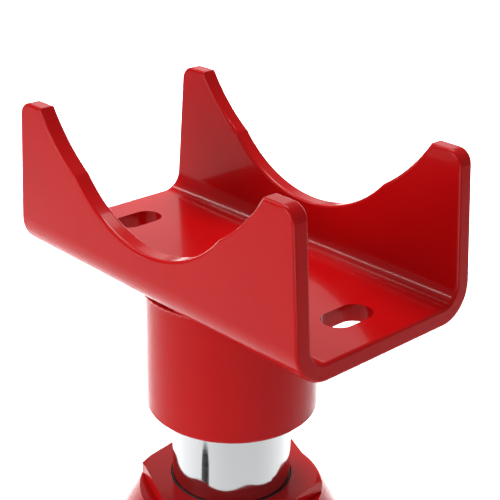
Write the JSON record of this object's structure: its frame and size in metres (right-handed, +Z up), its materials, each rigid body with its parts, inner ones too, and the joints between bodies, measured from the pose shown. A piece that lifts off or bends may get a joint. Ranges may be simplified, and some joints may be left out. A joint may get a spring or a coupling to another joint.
{
  "type": "bottle jack",
  "caption": "Hydraulic bottle jack with a slotted channel saddle on a collar over a chromed ram, hexagon top nut, round reservoir, side pump and cast foot.",
  "frame": {"origin": "centre of the ram axis on the underside of the base", "axes": "+Z up along the ram, saddle channel along X, hand pump towards -Y"},
  "size_m": [0.1681, 0.238, 0.361],
  "materials": {
    "painted_red": "gloss red powder coat",
    "painted_black": "satin black paint",
    "chrome": "hard chrome, polished",
    "steel_turned": "turned and ground steel",
    "steel_plated": "zinc plated steel",
    "copper_gasket": "soft copper",
    "rubber_black": "nitrile rubber",
    "nylon": "natural nylon"
  },
  "bodies": {
    "jack": {"base_casting": "painted_red", "cylinder_gasket": "copper_gasket", "cylinder_tube": "steel_turned", "reservoir_gasket_lower": "rubber_black", "reservoir_gasket_upper": "rubber_black", "reservoir_tube": "painted_red", "suction_strainer": "steel_turned", "top_nut": "painted_red", "ram_wiper": "rubber_black", "pump_gasket": "copper_gasket", "pump_body": "steel_plated", "pump_gland_seal": "rubber_black", "pump_gland_nut": "steel_plated", "link_plates": "painted_black", "link_lower_pin": "steel_plated", "fulcrum_pin": "steel_plated", "link_pin_clips": "steel_plated", "suction_spring": "steel_plated", "suction_plug": "steel_plated", "discharge_spring": "steel_plated", "discharge_plug": "steel_plated", "overload_ball": "steel_turned", "overload_spring": "steel_plated", "overload_screw": "steel_plated", "overload_cap": "steel_plated", "release_ball": "steel_turned"},
    "suction_valve": {"suction_ball": "steel_turned"},
    "discharge_valve": {"discharge_ball": "steel_turned"},
    "filler": {"filler_plug": "rubber_black"},
    "ram": {"ram_rod": "chrome", "ram_plug": "steel_turned", "piston_head": "steel_turned", "piston_guide_ring": "nylon", "piston_cup_seal": "rubber_black", "piston_nut": "steel_turned"},
    "screw_stop": {"screw_stop_ring": "steel_turned"},
    "screw": {"extension_screw": "steel_turned", "screw_stop_clip": "steel_turned"},
    "swivel": {"screw_swivel_cap": "steel_turned"},
    "saddle": {"saddle_bracket": "painted_red", "saddle_collar": "painted_red", "saddle_weld": "painted_red"},
    "lever": {"handle_socket": "painted_black", "plunger_pin": "steel_plated", "plunger_pin_clips": "steel_plated"},
    "plunger": {"pump_plunger": "steel_turned", "plunger_seal": "rubber_black"},
    "release_slider": {"release_seal": "rubber_black"},
    "release": {"release_spindle": "steel_plated"}
  },
  "joints": [
    {"name": "ram_lift", "type": "slide", "parent": "jack", "child": "ram", "axis": [0, 0, 1], "range_m": [-0.034, 0.105]},
    {"name": "screw_rise", "type": "slide", "parent": "ram", "child": "screw_stop", "axis": [0, 0, 1], "range_m": [0, 0.06]},
    {"name": "screw_turn", "type": "hinge", "parent": "screw_stop", "child": "screw", "pos_m": [0, 0, 0.286], "axis": [0, 0, 1], "range_deg": [0, 3600]},
    {"name": "cap_swivel", "type": "hinge", "parent": "screw_stop", "child": "swivel", "pos_m": [0, 0, 0.292], "axis": [0, 0, 1], "continuous": true},
    {"name": "saddle_lift_off", "type": "slide", "parent": "swivel", "child": "saddle", "axis": [0, 0, 1], "range_m": [0, 0.08]},
    {"name": "pump_lever", "type": "hinge", "parent": "jack", "child": "lever", "pos_m": [0, -0.067, 0.118], "axis": [-1, 0, 0], "range_deg": [0, 60]},
    {"name": "plunger_slide", "type": "slide", "parent": "jack", "child": "plunger", "axis": [0, 0, 1], "range_m": [0, 0.02601]},
    {"name": "release_travel", "type": "slide", "parent": "jack", "child": "release_slider", "axis": [1, 0, 0], "range_m": [0, 0.00225]},
    {"name": "release_turn", "type": "hinge", "parent": "release_slider", "child": "release", "pos_m": [0.066, -0.02201, 0.011], "axis": [1, 0, 0], "range_deg": [0, 540]},
    {"name": "suction_lift", "type": "slide", "parent": "jack", "child": "suction_valve", "axis": [1, 0, 0], "range_m": [0, 0.0015], "deforming": ["suction_spring"]},
    {"name": "discharge_lift", "type": "slide", "parent": "jack", "child": "discharge_valve", "axis": [-1, 0, 0], "range_m": [0, 0.0015], "deforming": ["discharge_spring"]},
    {"name": "filler_pull", "type": "slide", "parent": "jack", "child": "filler", "axis": [1, 0, 0], "range_m": [0, 0.02]}
  ],
  "couplings": [
    {"joint": "screw_rise", "follows": "screw_turn", "m_per_rad": 0.00095493},
    {"joint": "plunger_slide", "follows": "pump_lever", "m_per_rad": 0.024828},
    {"joint": "release_turn", "follows": "release_travel", "rad_per_m": 4188.8}
  ]
}
